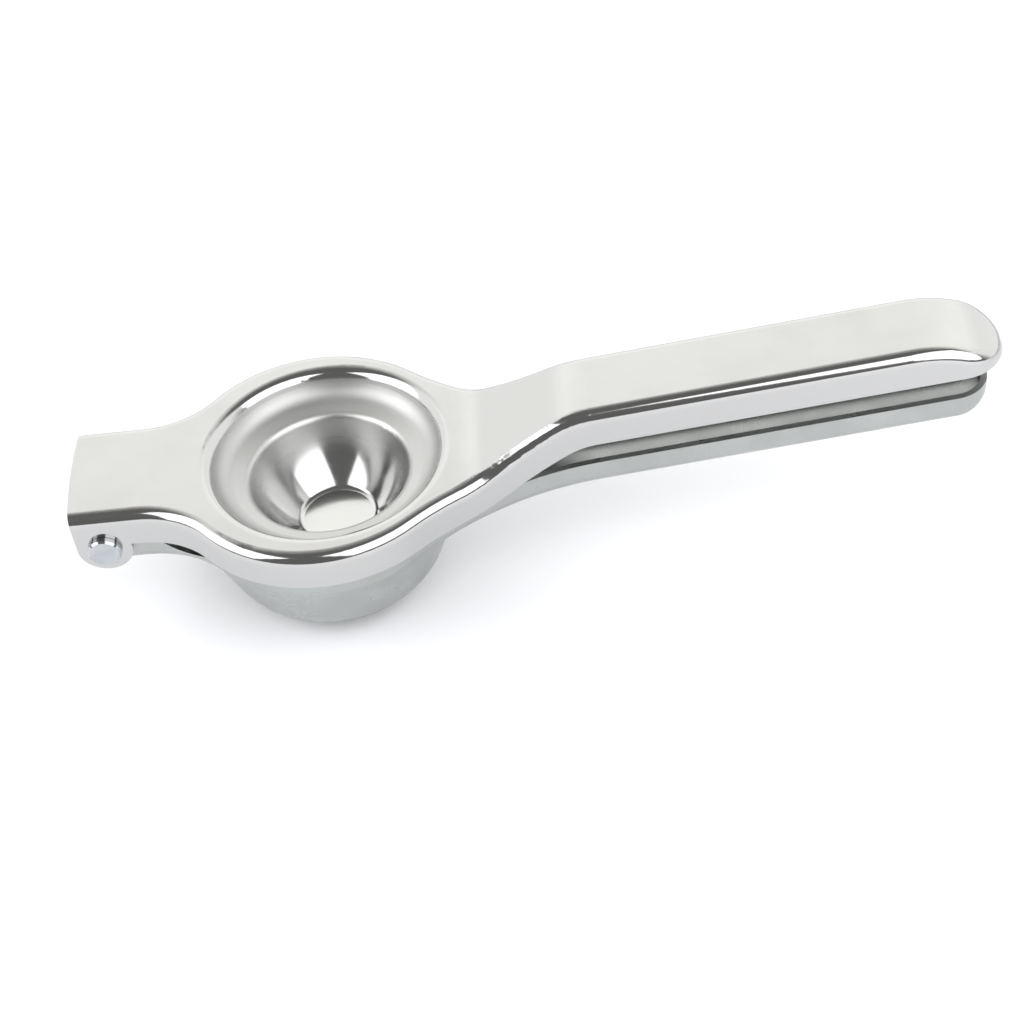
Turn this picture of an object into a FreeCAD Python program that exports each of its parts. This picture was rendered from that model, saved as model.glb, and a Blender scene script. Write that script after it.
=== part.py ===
"""Hand-held citrus squeezer: two stamped steel arms hinged on one rivet.  Millimetres.

Frame: X runs from the hinge to the handle ends, Z is up (the axis of the ring), Y completes it.
The origin is on the flat base of the strainer bowl, right under the centre of the ring.
Everything is first drawn with Z = 0 at the ring's top plane, then lifted by RING_HEIGHT.
"""
import FreeCAD
import Part
import math
import os

V = FreeCAD.Vector

# ---- sheet and clearances -------------------------------------------------------------------
SHEET = 1.5             # thickness of both stampings
EDGE_R = 2.8            # outside radius where a plate turns into its flange
NEST_GAP = 0.9          # between the skirt of the ring and the wall of the bowl
TONGUE_GAP = 0.4        # between an ear and the tongue inside it
HANDLE_GAP = 0.45       # between the two channels where they nest at the neck

# ---- press arm, plan ------------------------------------------------------------------------
RING_R = 34.2           # outside of the ring
HINGE_END = 57.0        # hinge end, measured back from the ring's centre
HINGE_HALF = 15.0       # half width at the hinge
HINGE_BULGE = 0.8       # how far the hinge end bows out
HINGE_SIDE = 15.0       # straight sides of the hinge, from its end to the flare into the ring
FLARE_X = HINGE_END - HINGE_SIDE
NECK_X = 64.5           # where the ring's neck has become the handle
HANDLE_HALF = 10.5      # half width of the handle
NOSE_X = 156.5          # end of the handle
NOSE_FLAT = 1.1         # half the short flat between the two round corners of the nose
NOSE_CORNER = HANDLE_HALF - NOSE_FLAT
NOSE_OVERRUN = 0.5      # how far the nose curves run past the plan outline that trims them

# ---- press arm, elevation -------------------------------------------------------------------
SKIRT = 9.2             # depth of the flange all round, across the sheet
BEND_ANGLE = 27.4       # steepest climb, degrees
BEND_RUN = 16.3         # straight part of the climb
BEND_R1 = 17.0
BEND_R2 = 28.0
PITCH = 6.2             # climb of both handles, degrees
NOSE_R = 30.0           # elevation radius of the nose
NOSE_TURN = 45.0        # how far the nose turns

# ---- press cup ------------------------------------------------------------------------------
CUP_LAND = 4.9          # from the outside of the ring to the roll of the cup
CUP_SHIFT = 1.7         # cup's axis, from the ring's centre towards the handle
CUP_MOUTH_R = RING_R - CUP_LAND
CUP_ROLL_R = 3.0        # from the ring's plate into the wall
CUP_WALL = 65.0         # steepness under the roll, degrees
CUP_WALL_LEN = 1.1
CUP_HOLLOW_R = 6.0      # curve from the wall to the ledge
CUP_LEDGE = 15.0        # slope of the ledge, degrees
CUP_LEDGE_LEN = 2.3
CUP_CREASE_R = 2.1      # from the ledge down into the dome
CUP_STEEP = 70.0        # steepness at the top of the dome, degrees
CUP_DOME_R = 33.0
CUP_DOME_TURN = 28.0
CUP_BOTTOM_R = 2.0      # from the dome to its flat bottom
CUP_MARGIN = 0.1        # level plate left between the cup's mouth and the climb
BEND_START = CUP_SHIFT + CUP_MOUTH_R + CUP_MARGIN

# ---- strainer arm ---------------------------------------------------------------------------
RIM_DROP = 2.0          # rim of the bowl, below the ring's top plane
BOWL_STRAIGHT = 11.0    # upright part of the bowl's wall
BOWL_SHOULDER_R = 7.0
BOWL_CONE = 20.3        # lean of the bowl's cone, degrees
BOWL_CORNER_R = 16.5
RING_HEIGHT = 38.7      # ring's top plane above the base of the bowl
FLOOR_BEND_R = 20.0     # from the level floor to the pitch of the strainer arm's handle
LOWER_INSET = 3.0       # how far the strainer arm's handle stops short of the press arm's
LOWER_NOSE_X = NOSE_X - LOWER_INSET
LOWER_CHANNEL = 6.9     # depth of the strainer arm's handle channel
LOWER_GAP = 7.5         # between the two handles
LOWER_HALF = HANDLE_HALF - SHEET - HANDLE_GAP
LOWER_FLAT = 1.15       # half the short flat of the strainer arm's nose
LOWER_CORNER = LOWER_HALF - LOWER_FLAT
LOWER_NOSE_R = 10.0     # elevation radius of the nose
LOWER_NOSE_TURN = 56.0
HINGE_RAMP = 12.0       # climb of the tongue's flanges to the rim, degrees
NECK_DIP = 16.0         # fall of the flanges from the rim to the handle, degrees
DIP_START = RING_R / 2  # where that fall starts, towards the handle
EDGE_CURVE = 12.0       # radius of the curves in the flanges' edges
SCOOP_R = 9.2           # round cut in the edge between the tongue and the rim
SCOOP_INSET = 3.2       # centre of the cut, inside the ring's outline
SCOOP_BACK = RING_R - SCOOP_INSET
SCOOP_DROP = 4.7        # centre of the cut, below the ring's top plane
DRAIN_R = 1.7
DRAIN_EDGE = 1.9        # from the edge of the flat base to the centres of the outer drain holes
DRAIN_STEP = 4.2        # between one circle of drain holes and the next
DRAIN_PITCH = 4.8       # least spacing of the holes on their circle

# ---- hinge ----------------------------------------------------------------------------------
PIN_INSET = 6.4         # pin axis from the hinge end
PIN_BACK = HINGE_END - PIN_INSET
PIN_DROP = 10.2         # pin axis below the ring's top plane
PIN_R = 2.5
PIN_PLAY = 0.05         # radial, in the ears of the press arm
EAR_R = 6.4
EAR_FRONT_DROP = 3.2    # where the ear's front edge starts to slant back
TONGUE_R = 6.6          # round end of the tongue, about the pin
TONGUE_FLOOR = PIN_DROP + TONGUE_R      # underside of the tongue, below the ring's top plane
HEAD_OVER = 1.45        # how far the rivet's head reaches past its shank
HEAD_R = PIN_R + HEAD_OVER
HEAD_THICK = 1.5
HEAD_BEVEL = 0.45
TAIL_OVER = 1.1
TAIL_R = PIN_R + TAIL_OVER
TAIL_THICK = 1.2
END_PLAY = 0.08         # between a rivet head and its ear

FAR = 200.0             # larger than the object, for tool bodies
RUN_OUT = 12.0          # how far the hollows run out past the open hinge end


def rad(degrees):
    return math.radians(degrees)


def trace(start, heading, moves, shift=0.0):
    """Follow lines and arcs in a plane.  A positive turn is to the left, and a positive shift
    gives the parallel path on the left.  Returns (points of each piece), each two or three."""
    angle = rad(heading)
    x = start[0] - shift * math.sin(angle)
    y = start[1] + shift * math.cos(angle)
    pieces = []
    for move in moves:
        if len(move) == 1:
            nx = x + move[0] * math.cos(angle)
            ny = y + move[0] * math.sin(angle)
            pieces.append([(x, y), (nx, ny)])
        else:
            radius, turn = move[0], rad(move[1])
            side = 1.0 if turn > 0 else -1.0
            radius -= side * shift
            cx = x - side * radius * math.sin(angle)
            cy = y + side * radius * math.cos(angle)
            points = []
            for part in (0.0, 0.5, 1.0):
                a = angle + turn * part
                points.append((cx + side * radius * math.sin(a), cy - side * radius * math.cos(a)))
            pieces.append(points)
            angle += turn
            nx, ny = points[2]
        x, y = nx, ny
    return pieces


def face_of(pieces, place):
    """A face bounded by the pieces in order; gaps between their ends are closed with lines."""
    edges = []
    for i, piece in enumerate(pieces):
        after = pieces[(i + 1) % len(pieces)][0]
        points = [place(*p) for p in piece]
        if len(points) == 2:
            edges.append(Part.makeLine(points[0], points[1]))
        else:
            edges.append(Part.Arc(points[0], points[1], points[2]).toShape())
        if (place(*after) - points[-1]).Length > 1e-7:
            edges.append(Part.makeLine(points[-1], place(*after)))
    return Part.Face(Part.Wire(Part.__sortEdges__(edges)))


def in_plan(x, y):
    return V(x, y, -FAR / 2)


def in_side(x, z):
    return V(x, -FAR / 2, z)


def flip(piece):
    """The mirror image of a plan piece in the XZ plane, run the other way."""
    return [(x, -y) for x, y in reversed(piece)]


def slab_plan(front, bulge, hinge_half, ring_r, handle_half, nose_x, corner):
    """The plan outline as a tall solid: hinge sides, flare, ring, neck, handle and nose."""
    def shoulder(x, half):
        """Arc centre and tangent point on the ring, for a concave arc that leaves y=half at x."""
        r = (x * x + half * half - ring_r * ring_r) / (2.0 * (ring_r - half))
        k = ring_r / (ring_r + r)
        return r, (x * k, (half + r) * k)

    def arc(cx, cy, r, p, q):
        a = math.atan2(p[1] - cy, p[0] - cx)
        b = math.atan2(q[1] - cy, q[0] - cx)
        turn = (b - a + math.pi) % (2 * math.pi) - math.pi
        m = a + turn / 2
        return [p, (cx + r * math.cos(m), cy + r * math.sin(m)), q]

    r_flare, p_flare = shoulder(-FLARE_X, hinge_half)
    r_neck, p_neck = shoulder(NECK_X, handle_half)
    end_y = handle_half - corner
    half = [[(-front, hinge_half), (-FLARE_X, hinge_half)],
            arc(-FLARE_X, hinge_half + r_flare, r_flare, (-FLARE_X, hinge_half), p_flare),
            arc(0.0, 0.0, ring_r, p_flare, p_neck),
            arc(NECK_X, handle_half + r_neck, r_neck, p_neck, (NECK_X, handle_half)),
            [(NECK_X, handle_half), (nose_x - corner, handle_half)],
            arc(nose_x - corner, end_y, corner, (nose_x - corner, handle_half), (nose_x, end_y))]
    pieces = half + [flip(piece) for piece in reversed(half)]
    if bulge:
        pieces.append([(-front, -hinge_half), (-front - bulge, 0.0), (-front, hinge_half)])
    return face_of(pieces, in_plan).extrude(V(0, 0, FAR))


def slab_side(pieces):
    """A side outline as a solid that is wider than the object."""
    return face_of(pieces, in_side).extrude(V(0, FAR, 0))


def revolved(pieces, x=0.0):
    """A section in (radius, height) turned about the upright axis at x."""
    return face_of(pieces, lambda r, z: V(x + r, 0, z)).revolve(V(x, 0, 0), V(0, 0, 1), 360)


def lid_edges(solid, up):
    """Edges where the plate (facing up or down) meets an upright wall, but not the hinge end."""
    found = []
    for edge in solid.Edges:
        lid = wall = False
        for face in solid.ancestorsOfType(edge, Part.Face):
            u0, u1, v0, v1 = face.ParameterRange
            n = face.normalAt((u0 + u1) / 2, (v0 + v1) / 2)
            lid = lid or (n.z * up > 0.3 and abs(n.y) < 1e-3)
            wall = wall or (abs(n.z) < 1e-6 and n.x > -0.95)
        if lid and wall:
            found.append(edge)
    return found


def backwards(pieces):
    return [list(reversed(piece)) for piece in reversed(pieces)]


def climb(nose_x, nose_r, nose=True):
    """Moves of the press arm's top line from far behind the hinge to the end of the nose."""
    turn = rad(BEND_ANGLE)
    pitch = rad(PITCH)
    run = (BEND_START + BEND_R1 * math.sin(turn) + BEND_RUN * math.cos(turn)
           + BEND_R2 * (math.sin(turn) - math.sin(pitch)))
    moves = [(FAR / 2 + BEND_START,), (BEND_R1, BEND_ANGLE), (BEND_RUN,),
             (BEND_R2, PITCH - BEND_ANGLE)]
    if not nose:
        return moves + [(FAR / 2,)]
    fall = rad(NOSE_TURN - PITCH)
    nose_run = nose_r * (math.sin(pitch) + math.sin(fall))
    moves.append(((nose_x + NOSE_OVERRUN - nose_run - run) / math.cos(pitch),))
    return moves + [(nose_r, -NOSE_TURN)]


def handle_line():
    """A point of the press arm's top line on the straight handle, as (x, z)."""
    return trace((-FAR / 2, 0.0), 0.0, climb(0, 0, nose=False))[-1][0]


def ear_outline():
    """Lower edge of the press arm's flange at the hinge, from the hinge end round the ear."""
    px, pz = -PIN_BACK, -PIN_DROP
    sx, sz = -HINGE_END, -EAR_FRONT_DROP
    gap = math.hypot(sx - px, sz - pz)
    toward = math.atan2(sz - pz, sx - px)
    touch = toward + math.acos(EAR_R / gap)
    leave = math.asin((PIN_DROP - SKIRT) / EAR_R)
    if touch > 0:
        touch -= 2 * math.pi
    mid = (touch + leave) / 2
    on = [(px + EAR_R * math.cos(a), pz + EAR_R * math.sin(a)) for a in (touch, mid, leave)]
    return [[(-FAR / 2, sz), (sx, sz)], [(sx, sz), on[0]], on]


def press_arm_blank():
    top = trace((-FAR / 2, 0.0), 0.0, climb(NOSE_X, NOSE_R))
    under = trace((-FAR / 2, 0.0), 0.0, climb(0, 0, nose=False), shift=-SKIRT)
    ear = ear_outline()
    x_ear, z_ear = ear[-1][-1]
    under[0] = [(x_ear, z_ear), under[0][1]]
    x_end, z_end = top[-1][-1]
    x_line, z_line = under[-1][0]
    z_under = z_line + (x_end - x_line) * math.tan(rad(PITCH))
    under[-1] = [under[-1][0], (x_end, z_under)]
    side = slab_side(top + backwards(under) + backwards(ear))
    plan = slab_plan(HINGE_END, HINGE_BULGE, HINGE_HALF, RING_R, HANDLE_HALF, NOSE_X, NOSE_CORNER)
    blank = plan.common(side).removeSplitter()
    return blank.makeFillet(EDGE_R, lid_edges(blank, 1))


def press_arm_hollow():
    top = trace((-FAR / 2, 0.0), 0.0, climb(NOSE_X, NOSE_R), shift=-SHEET)
    side = slab_side(top + [[(top[-1][-1][0], -FAR / 3), (-FAR / 2, -FAR / 3)]])
    plan = slab_plan(HINGE_END + RUN_OUT, 0, HINGE_HALF - SHEET, RING_R - SHEET,
                     HANDLE_HALF - SHEET, NOSE_X - SHEET, NOSE_CORNER - SHEET)
    hollow = plan.common(side).removeSplitter()
    return hollow.makeFillet(EDGE_R - SHEET, lid_edges(hollow, 1))


def cup_moves():
    return [(CUP_ROLL_R, CUP_WALL), (CUP_WALL_LEN,), (CUP_HOLLOW_R, CUP_LEDGE - CUP_WALL),
            (CUP_LEDGE_LEN,), (CUP_CREASE_R, CUP_STEEP - CUP_LEDGE),
            (CUP_DOME_R, -CUP_DOME_TURN), (CUP_BOTTOM_R, CUP_DOME_TURN - CUP_STEEP)]


def press_cup():
    """The pressed cup as a sheet of revolution, from the ring's plate to its flat bottom."""
    start = (CUP_MOUTH_R, 0.0)
    inside = trace(start, 180.0, cup_moves())
    outside = trace(start, 180.0, cup_moves(), shift=SHEET)
    r_in, z_in = inside[-1][-1]
    r_out, z_out = outside[-1][-1]
    return revolved(inside + [[(r_in, z_in), (0.0, z_in)], [(0.0, z_in), (0.0, z_out)],
                              [(0.0, z_out), (r_out, z_out)]] + backwards(outside), CUP_SHIFT)


def across(r, y0, y1, x=-PIN_BACK, z=-PIN_DROP):
    """A cylinder along Y about the pin's axis."""
    return Part.makeCylinder(r, y1 - y0, V(x, y0, z), V(0, 1, 0))


def upper_arm():
    arm = press_arm_blank().cut(press_arm_hollow())
    arm = arm.cut(Part.makeCylinder(CUP_MOUTH_R, 3 * SHEET, V(CUP_SHIFT, 0, -2 * SHEET)))
    arm = arm.fuse(press_cup()).removeSplitter()
    return arm.cut(across(PIN_R + PIN_PLAY, -FAR / 2, FAR / 2))


def strainer_edges():
    """Top edge line and floor line of the strainer arm, in side view."""
    x0, z0 = handle_line()
    slope = math.tan(rad(PITCH))
    drop = (SKIRT + LOWER_GAP) / math.cos(rad(PITCH))
    ramp, dip, pitch = rad(HINGE_RAMP), rad(NECK_DIP), rad(PITCH)
    low = -PIN_DROP + TONGUE_R
    ramp_len = (-RIM_DROP - low - 2 * EDGE_CURVE * (1 - math.cos(ramp))) / math.sin(ramp)
    fixed_x = DIP_START + EDGE_CURVE * math.sin(dip) + EDGE_CURVE * (math.sin(pitch) + math.sin(dip))
    fixed_z = (-RIM_DROP - EDGE_CURVE * (1 - math.cos(dip))
               - EDGE_CURVE * (math.cos(pitch) - math.cos(dip)))
    aim = z0 - drop + (fixed_x - x0) * slope
    dip_len = (fixed_z - aim) / (math.sin(dip) + math.cos(dip) * slope)
    start = -PIN_BACK + TONGUE_R
    ramp_run = 2 * EDGE_CURVE * math.sin(ramp) + ramp_len * math.cos(ramp)
    top = trace((-FAR / 2, low), 0.0,
                [(FAR / 2 + start,), (EDGE_CURVE, HINGE_RAMP), (ramp_len,),
                 (EDGE_CURVE, -HINGE_RAMP), (DIP_START - start - ramp_run,),
                 (EDGE_CURVE, -NECK_DIP), (dip_len,), (EDGE_CURVE, NECK_DIP + PITCH), (FAR,)])
    below = LOWER_CHANNEL / math.cos(pitch)
    meet = x0 + (-TONGUE_FLOOR + drop + below - z0) / slope
    nose_run = LOWER_NOSE_R * (math.sin(rad(LOWER_NOSE_TURN + PITCH)) - math.sin(pitch))
    length = (LOWER_NOSE_X + NOSE_OVERRUN - nose_run - meet) / math.cos(pitch)
    return top, (meet, length)


def strainer_floor(meet, length, shift=0.0):
    """The floor line: level under the tongue and bowl, then the pitch of the handle."""
    lead = FLOOR_BEND_R * math.tan(rad(PITCH) / 2)
    return trace((-FAR / 2, -TONGUE_FLOOR), 0.0,
                 [(FAR / 2 + meet - lead,), (FLOOR_BEND_R, PITCH), (length - lead,),
                  (LOWER_NOSE_R, LOWER_NOSE_TURN)],
                 shift=shift)


def strainer_pan(inset, shift, closed_top):
    """The tray of the strainer arm without its bowl: outer body or the hollow in it."""
    top, (meet, length) = strainer_edges()
    floor = strainer_floor(meet, length, shift)
    x_end = floor[-1][-1][0]
    if closed_top:
        x_line, z_line = top[-1][0]
        z_end = z_line + (x_end - x_line) * math.tan(rad(PITCH))
        top[-1] = [top[-1][0], (x_end, z_end)]
        side = slab_side(floor + backwards(top))
    else:
        side = slab_side(floor + [[(x_end, FAR / 3), (-FAR / 2, FAR / 3)]])
    tongue = HINGE_HALF - SHEET - TONGUE_GAP
    bowl = RING_R - SHEET - NEST_GAP
    plan = slab_plan(HINGE_END + RUN_OUT, 0, tongue - inset, bowl - inset, LOWER_HALF - inset,
                     LOWER_NOSE_X - inset, LOWER_CORNER - inset)
    pan = plan.common(side).removeSplitter()
    return pan.makeFillet(EDGE_R - inset, lid_edges(pan, -1))


def bowl_wall(inset):
    """Section of the bowl's wall from its rim to the edge of its flat base."""
    cone = rad(BOWL_CONE)
    depth = (RING_HEIGHT - RIM_DROP - BOWL_STRAIGHT - BOWL_SHOULDER_R * math.sin(cone)
             - BOWL_CORNER_R * (1 - math.sin(cone)))
    moves = [(BOWL_STRAIGHT,), (BOWL_SHOULDER_R, -BOWL_CONE), (depth / math.cos(cone),),
             (BOWL_CORNER_R, BOWL_CONE - 90)]
    return trace((RING_R - SHEET - NEST_GAP, -RIM_DROP), -90.0, moves, shift=-inset)


def bowl_solid(inset):
    """The bowl filled in, or the space inside it when inset by the sheet."""
    wall = bowl_wall(inset)
    z_top = -RIM_DROP + inset
    wall[0][0] = (wall[0][0][0], z_top)
    z_base = wall[-1][-1][1]
    return revolved(wall + [[(0.0, z_base), (0.0, z_top)]])


def lower_arm():
    arm = strainer_pan(0.0, 0.0, True).fuse(bowl_solid(0.0)).removeSplitter()
    arm = arm.cut(strainer_pan(SHEET, SHEET, False)).cut(bowl_solid(SHEET))
    front = Part.makeBox(FAR, FAR, FAR, V(-PIN_BACK - FAR, -FAR / 2, -FAR / 2))
    arm = arm.cut(front.cut(across(TONGUE_R, -FAR, FAR)))
    arm = arm.cut(across(PIN_R, -FAR / 2, FAR / 2))
    arm = arm.cut(across(SCOOP_R, -FAR / 2, FAR / 2, -SCOOP_BACK, -SCOOP_DROP))
    drain = bowl_wall(0.0)[-1][-1][0] - DRAIN_EDGE
    while drain > DRAIN_PITCH / 2:
        count = int(2 * math.pi * drain / DRAIN_PITCH)
        for i in range(count):
            a = 2 * math.pi * (i + 0.5) / count
            spot = V(drain * math.cos(a), drain * math.sin(a), -RING_HEIGHT - 1)
            arm = arm.cut(Part.makeCylinder(DRAIN_R, SHEET + 3, spot))
        drain -= DRAIN_STEP
    return arm.removeSplitter()


def hinge_rivet():
    """One rivet: flat bevelled head on the -Y side, shank, and formed tail on the +Y side."""
    near = -HINGE_HALF - END_PLAY
    far = HINGE_HALF + END_PLAY
    shank = across(PIN_R, near, far)
    head = across(HEAD_R, near - HEAD_THICK, near)
    rim = [e for e in head.Edges if abs(e.BoundBox.YMax - (near - HEAD_THICK)) < 1e-6]
    head = head.makeChamfer(HEAD_BEVEL, rim)
    tail = Part.makeCone(TAIL_R, PIN_R, TAIL_THICK, V(-PIN_BACK, far, -PIN_DROP), V(0, 1, 0))
    return shank.fuse(head).fuse(tail).removeSplitter()


def only_solid(shape):
    solids = shape.Solids
    if len(solids) != 1:
        raise RuntimeError("expected one solid, found %d" % len(solids))
    solid = solids[0]
    if not solid.isValid():
        raise RuntimeError("solid is not valid")
    return solid


os.makedirs("parts", exist_ok=True)
for name, make in (("upper_arm", upper_arm), ("lower_arm", lower_arm),
                   ("hinge_rivet", hinge_rivet)):
    body = only_solid(make())
    body.translate(V(0, 0, RING_HEIGHT))
    body.exportStep("parts/%s.step" % name)
    box = body.BoundBox
    print(name, "volume %.0f mm3" % body.Volume, "X %.2f..%.2f Y %.2f..%.2f Z %.2f..%.2f" % (
        box.XMin, box.XMax, box.YMin, box.YMax, box.ZMin, box.ZMax))
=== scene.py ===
import math

import bpy
from mathutils import Matrix, Vector

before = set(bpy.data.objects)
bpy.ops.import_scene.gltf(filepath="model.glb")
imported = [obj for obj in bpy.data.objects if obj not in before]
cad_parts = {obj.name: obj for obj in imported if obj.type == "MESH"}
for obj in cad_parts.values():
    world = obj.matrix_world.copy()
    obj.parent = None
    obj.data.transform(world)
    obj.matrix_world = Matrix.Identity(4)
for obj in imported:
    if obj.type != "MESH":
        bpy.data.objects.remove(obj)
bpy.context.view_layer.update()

# ---- camera, in metres, in the CAD's own frame -----------------------------------------------
CAM_AT = Vector((0.06462, -0.36233, 0.38411))
CAM_RIGHT = Vector((0.99435, -0.04046, -0.09817)).normalized()
CAM_UP = Vector((0.0974, 0.71564, 0.69164)).normalized()
LENS = 76.55                    # millimetres, on a sensor of SENSOR millimetres
SENSOR = 36.0

# ---- places on the object, in metres, in the same frame --------------------------------------
RING_TOP = 0.0387               # the ring's top plane
CUP_X = 0.0017                  # the cup's axis, towards the handle from the ring's centre
CUP_FINISH_TOP = RING_TOP - 0.0010      # the cup's own finish fades in from here
CUP_FINISH_FULL = RING_TOP - 0.0022     # down to here
WALL_R = 0.0262                 # the cup's wall and ledge, inside its polished roll
DOME_R = 0.0187                 # the cup's dome, inside its ledge
DOME_CLEAR_R = 0.0140           # inside this radius the dome is polished
FINISH_BLEND = 0.0008           # width over which one finish turns into the next
FINE_BEVEL = 0.00022            # broken edges of the sheet
BEVEL_ANGLE = 50.0              # degrees; flatter edges than this stay as they are
RELIEF_DEPTH = 0.00002          # depth of the fine relief
FLOOR_HALF = 1.5                # half the width of the floor

# ---- finishes, with painted shade in the side and strainer greys -----------------------------
STEEL_LIGHT = (0.60, 0.60, 0.585, 1.0)
STEEL_DARK = (0.575, 0.575, 0.562, 1.0)
# painted shade: the steel of faces that don't face up (sides, skirt, rolls) is set darker than the
# plates'
STEEL_SIDE_PAINTED_SHADE = (0.50, 0.50, 0.495, 1.0)
# painted shade: the strainer arm's steel is set darker grey for the shaded floor its bowl mirrors
STRAINER_PAINTED_SHADE_LIGHT = (0.415, 0.43, 0.42, 1.0)
STRAINER_PAINTED_SHADE_DARK = (0.375, 0.39, 0.38, 1.0)
RIVET_LIGHT = (0.47, 0.49, 0.51, 1.0)
RIVET_DARK = (0.41, 0.43, 0.45, 1.0)
FLOOR_WHITE = (0.90, 0.905, 0.93, 1.0)
SWEEP_WHITE = (1.0, 0.997, 0.985, 1.0)
ROLL_ROUGH = 0.10
PLATE_ROUGH = 0.30
WALL_ROUGH = 0.46
DOME_ROUGH = 0.12
DOME_RIM_ROUGH = 0.36
RIVET_EDGE_ROUGH = 0.12
RIVET_FACE_ROUGH = 0.30
SWEEP_STRENGTH = 1.48
DARK_STRENGTH = 0.20


# ---- node helpers ----------------------------------------------------------------------------
class Nodes:
    """Builds a node tree from short calls; every call returns the socket it makes."""

    def __init__(self, tree):
        self.tree = tree
        tree.nodes.clear()

    def add(self, kind, **settings):
        node = self.tree.nodes.new(kind)
        for key, value in settings.items():
            setattr(node, key, value)
        return node

    def put(self, socket, value):
        if isinstance(value, bpy.types.NodeSocket):
            self.tree.links.new(value, socket)
        elif value is not None:
            socket.default_value = value

    def math(self, operation, a, b=None):
        node = self.add("ShaderNodeMath", operation=operation)
        for socket, value in zip(node.inputs, (a, b)):
            self.put(socket, value)
        return node.outputs[0]

    def step(self, value, low, high, to_low=0.0, to_high=1.0):
        """A smooth change from to_low to to_high as value goes from low to high."""
        node = self.add("ShaderNodeMapRange", interpolation_type="SMOOTHSTEP")
        for socket, item in zip(node.inputs, (value, low, high, to_low, to_high)):
            self.put(socket, item)
        return node.outputs[0]

    def sway(self, value, noise, amount):
        """The value, moved up and down by the noise, by the amount from end to end."""
        swing = self.math("MULTIPLY", self.math("SUBTRACT", noise, 0.5), amount)
        return self.math("ADD", value, swing)

    def mix(self, factor, a, b):
        node = self.add("ShaderNodeMix", data_type="FLOAT")
        for socket, value in zip((node.inputs[0], node.inputs[2], node.inputs[3]), (factor, a, b)):
            self.put(socket, value)
        return node.outputs[0]

    def tint(self, factor, a, b):
        node = self.add("ShaderNodeMix", data_type="RGBA")
        for socket, value in zip((node.inputs[0], node.inputs[6], node.inputs[7]), (factor, a, b)):
            self.put(socket, value)
        return node.outputs[2]

    def noise(self, vector, scale, detail=3.0, stretch=(1.0, 1.0, 1.0)):
        place = self.add("ShaderNodeMapping")
        self.put(place.inputs["Vector"], vector)
        place.inputs["Scale"].default_value = stretch
        node = self.add("ShaderNodeTexNoise")
        self.put(node.inputs["Vector"], place.outputs[0])
        node.inputs["Scale"].default_value = scale
        node.inputs["Detail"].default_value = detail
        return node.outputs["Fac"]

    def split(self, vector):
        node = self.add("ShaderNodeSeparateXYZ")
        self.put(node.inputs[0], vector)
        return node.outputs[0], node.outputs[1], node.outputs[2]


def new_material(name):
    material = bpy.data.materials.new(name)
    material.use_nodes = True
    return material, Nodes(material.node_tree)


def steel(nodes, roughness, height, bump, light, dark, colour_mask):
    """A stainless surface: colour between two greys, its own roughness and fine relief."""
    relief = nodes.add("ShaderNodeBump")
    relief.inputs["Strength"].default_value = bump
    relief.inputs["Distance"].default_value = RELIEF_DEPTH
    nodes.put(relief.inputs["Height"], height)
    shader = nodes.add("ShaderNodeBsdfPrincipled")
    shader.inputs["Metallic"].default_value = 1.0
    nodes.put(shader.inputs["Base Color"], nodes.tint(colour_mask, light, dark))
    nodes.put(shader.inputs["Roughness"], roughness)
    nodes.put(shader.inputs["Normal"], relief.outputs[0])
    output = nodes.add("ShaderNodeOutputMaterial")
    nodes.put(output.inputs[0], shader.outputs[0])


def press_arm_steel():
    """Satin plates, polished rolls, a blurred cup wall and a mirror-like dome; faces that don't
    face up get a darker grey, painted shade.
    """
    material, nodes = new_material("press_arm_satin_polish_painted_side_shade")
    place = nodes.add("ShaderNodeTexCoord").outputs["Object"]
    facing = nodes.add("ShaderNodeNewGeometry").outputs["Normal"]
    x, y, z = nodes.split(place)
    up = nodes.split(facing)[2]
    grain = nodes.noise(place, scale=2600.0, detail=4.0, stretch=(0.35, 1.0, 1.0))
    cloud = nodes.noise(place, scale=90.0, detail=3.0)
    streak = nodes.noise(place, scale=900.0, detail=5.0, stretch=(0.04, 1.0, 1.0))
    across = nodes.math("POWER", nodes.math("SUBTRACT", x, CUP_X), 2.0)
    from_axis = nodes.math("SQRT", nodes.math("ADD", across, nodes.math("POWER", y, 2.0)))

    plate = nodes.step(up, 0.90, 0.985)
    in_cup = nodes.step(z, CUP_FINISH_FULL, CUP_FINISH_TOP, 1.0, 0.0)
    within_dome = nodes.step(from_axis, DOME_R, DOME_R + FINISH_BLEND, 1.0, 0.0)
    within_wall = nodes.step(from_axis, WALL_R, WALL_R + FINISH_BLEND, 1.0, 0.0)
    in_dome = nodes.math("MULTIPLY", in_cup, within_dome)
    outside_dome = nodes.math("SUBTRACT", 1.0, in_dome)
    cup_wall = nodes.math("MULTIPLY", in_cup, nodes.math("MULTIPLY", within_wall, outside_dome))

    rough = nodes.mix(plate, ROLL_ROUGH, PLATE_ROUGH)
    rough = nodes.mix(cup_wall, rough, WALL_ROUGH)
    dome = nodes.step(from_axis, DOME_CLEAR_R, DOME_R, DOME_ROUGH, DOME_RIM_ROUGH)
    rough = nodes.mix(in_dome, rough, dome)
    rough = nodes.sway(nodes.sway(rough, cloud, 0.02), streak, 0.05)
    height = nodes.math("ADD", grain, nodes.math("MULTIPLY", streak, 0.5))
    # painted shade: where the face doesn't point up, the colour turns to the darker side grey
    light = nodes.tint(plate, STEEL_SIDE_PAINTED_SHADE, STEEL_LIGHT)
    dark = nodes.tint(plate, STEEL_SIDE_PAINTED_SHADE, STEEL_DARK)
    steel(nodes, rough, height, 0.12, light, dark, nodes.step(cloud, 0.35, 0.75))
    return material


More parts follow.
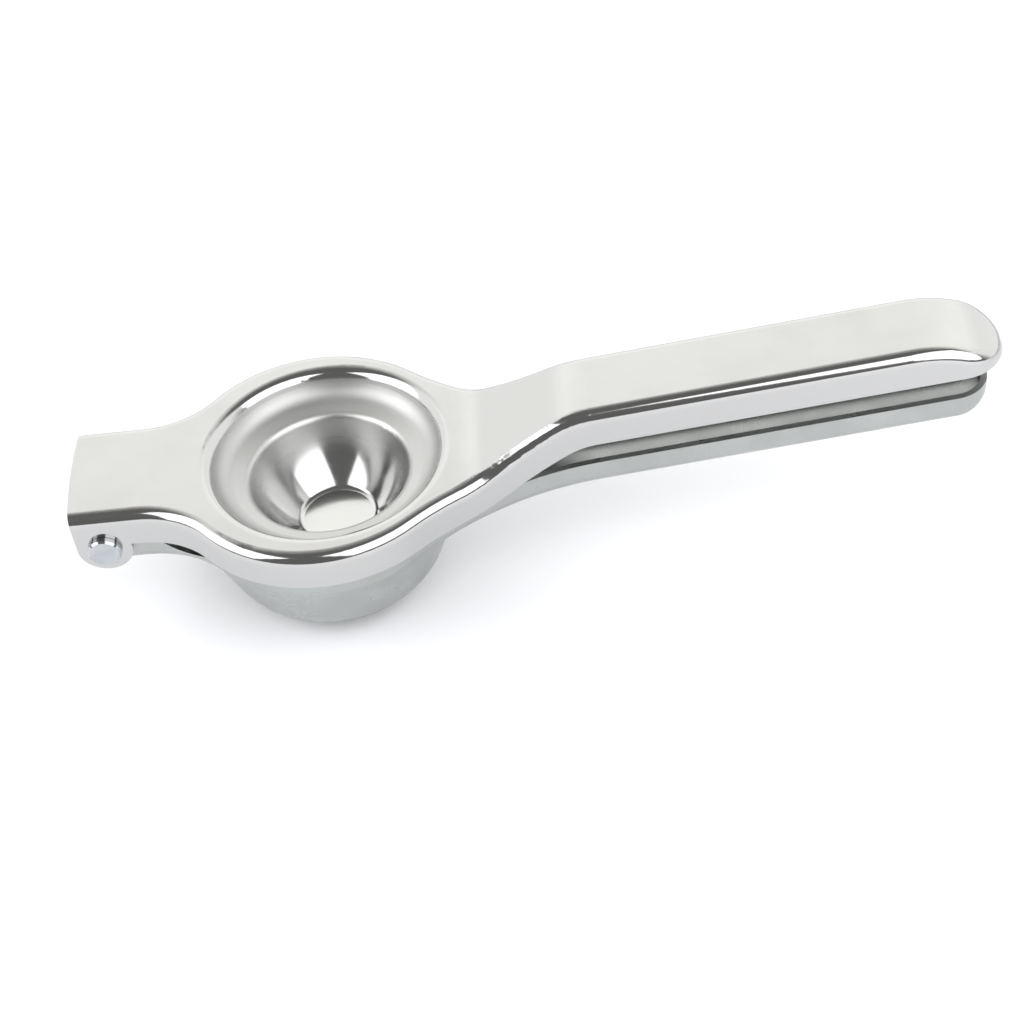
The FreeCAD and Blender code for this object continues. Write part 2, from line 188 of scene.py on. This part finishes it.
def strainer_arm_steel():
    """A greyer brushed finish, with faint level bands up the wall of the bowl; its steel is set
    darker than the press arm's as painted shade for the shaded floor the bowl mirrors.
    """
    material, nodes = new_material("strainer_arm_brushed_painted_shade")
    place = nodes.add("ShaderNodeTexCoord").outputs["Object"]
    grain = nodes.noise(place, scale=2400.0, detail=4.0, stretch=(1.0, 1.0, 0.35))
    cloud = nodes.noise(place, scale=80.0, detail=3.0)
    turned = nodes.noise(place, scale=700.0, detail=4.0, stretch=(0.05, 0.05, 1.0))
    rough = nodes.sway(nodes.step(cloud, 0.3, 0.7, 0.26, 0.31), turned, 0.03)
    height = nodes.math("ADD", grain, nodes.math("MULTIPLY", turned, 0.25))
    patches = nodes.step(cloud, 0.35, 0.75)
    # painted shade: the darker strainer greys, patched at random by the cloud
    steel(nodes, rough, height, 0.14, STRAINER_PAINTED_SHADE_LIGHT, STRAINER_PAINTED_SHADE_DARK, patches)
    return material


def rivet_steel():
    """Satin across the faces of the rivet's head and tail, and polished round their edges."""
    material, nodes = new_material("rivet_satin")
    place = nodes.add("ShaderNodeTexCoord").outputs["Object"]
    facing = nodes.add("ShaderNodeNewGeometry").outputs["Normal"]
    along = nodes.math("ABSOLUTE", nodes.split(facing)[1])
    grain = nodes.noise(place, scale=3000.0, detail=3.0, stretch=(1.0, 0.2, 0.3))
    cloud = nodes.noise(place, scale=260.0, detail=2.0)
    rough = nodes.mix(nodes.step(along, 0.90, 0.98), RIVET_EDGE_ROUGH, RIVET_FACE_ROUGH)
    rough = nodes.sway(rough, cloud, 0.06)
    patches = nodes.step(cloud, 0.35, 0.75)
    steel(nodes, rough, grain, 0.12, RIVET_LIGHT, RIVET_DARK, patches)
    return material


def finish_nodes():
    """Give each node its steel, and break its sharp edges finely."""
    for name, make in (("upper_arm", press_arm_steel), ("lower_arm", strainer_arm_steel),
                       ("hinge_rivet", rivet_steel)):
        node = bpy.data.objects[name]
        material = make()
        for slot in node.material_slots:
            slot.link = "OBJECT"
            slot.material = material
        bevel = node.modifiers.new("broken_edges", "BEVEL")
        bevel.width = FINE_BEVEL
        bevel.segments = 2
        bevel.limit_method = "ANGLE"
        bevel.angle_limit = math.radians(BEVEL_ANGLE)
        bevel.use_clamp_overlap = True
        bevel.harden_normals = False


# ---- studio ----------------------------------------------------------------------------------
def add_camera():
    data = bpy.data.cameras.new("camera")
    data.lens = LENS
    data.sensor_width = SENSOR
    data.clip_start = 0.01
    cam = bpy.data.objects.new("camera", data)
    bpy.context.scene.collection.objects.link(cam)
    back = CAM_RIGHT.cross(CAM_UP)
    m = Matrix((CAM_RIGHT, CAM_UP, back)).transposed().to_4x4()
    m.translation = CAM_AT
    cam.matrix_world = m
    bpy.context.scene.camera = cam


def softbox(name, at, aim, width, height, radiance):
    """A rectangular light at a place, turned to a point, with the brightness of its face."""
    data = bpy.data.lights.new(name, "AREA")
    data.shape = "RECTANGLE"
    data.size = width
    data.size_y = height
    data.energy = radiance * math.pi * width * height
    light = bpy.data.objects.new(name, data)
    bpy.context.scene.collection.objects.link(light)
    toward = (Vector(aim) - Vector(at)).normalized()
    light.location = at
    light.rotation_euler = toward.to_track_quat("-Z", "Y").to_euler()
    return light


def add_floor():
    mesh = bpy.data.meshes.new("floor")
    corners = [(i * FLOOR_HALF, j * FLOOR_HALF, 0) for i, j in ((-1, -1), (1, -1), (1, 1), (-1, 1))]
    mesh.from_pydata(corners, [], [(0, 1, 2, 3)])
    floor = bpy.data.objects.new("floor", mesh)
    bpy.context.scene.collection.objects.link(floor)
    material, nodes = new_material("floor_white")
    shader = nodes.add("ShaderNodeBsdfPrincipled")
    shader.inputs["Base Color"].default_value = FLOOR_WHITE
    shader.inputs["Roughness"].default_value = 0.9
    shader.inputs["Specular IOR Level"].default_value = 0.0
    output = nodes.add("ShaderNodeOutputMaterial")
    nodes.put(output.inputs[0], shader.outputs[0])
    mesh.materials.append(material)


def add_world():
    """A white sweep low down behind the object, and a dark room above and on the camera's side."""
    world = bpy.data.worlds.new("studio")
    bpy.context.scene.world = world
    world.use_nodes = True
    nodes = Nodes(world.node_tree)
    x, y, z = nodes.split(nodes.add("ShaderNodeTexCoord").outputs["Generated"])
    behind = nodes.step(y, -0.45, 0.15)
    low = nodes.step(z, 0.74, 0.86, 1.0, 0.0)
    sweep = nodes.math("MULTIPLY", behind, low)
    strength = nodes.mix(sweep, DARK_STRENGTH, SWEEP_STRENGTH)
    back = nodes.add("ShaderNodeBackground")
    back.inputs["Color"].default_value = SWEEP_WHITE
    nodes.put(back.inputs["Strength"], strength)
    output = nodes.add("ShaderNodeOutputWorld")
    nodes.put(output.inputs[0], back.outputs[0])


def light_the_studio():
    """Two softboxes on the camera's side, and an overhead light that no steel mirrors."""
    add_world()
    softbox("front_right", at=(0.36, -0.36, 0.44), aim=(0.05, 0.0, 0.03),
            width=0.70, height=0.70, radiance=2.3)
    softbox("front_left", at=(-0.58, -0.20, 0.42), aim=(0.0, 0.0, 0.03),
            width=0.68, height=0.66, radiance=2.3)
    overhead = softbox("overhead", at=(0.05, 0.0, 0.85), aim=(0.05, 0.0, 0.0),
                       width=1.0, height=1.0, radiance=0.7)
    overhead.visible_glossy = False


finish_nodes()
add_camera()
add_floor()
light_the_studio()
bpy.context.scene.view_settings.view_transform = "Standard"
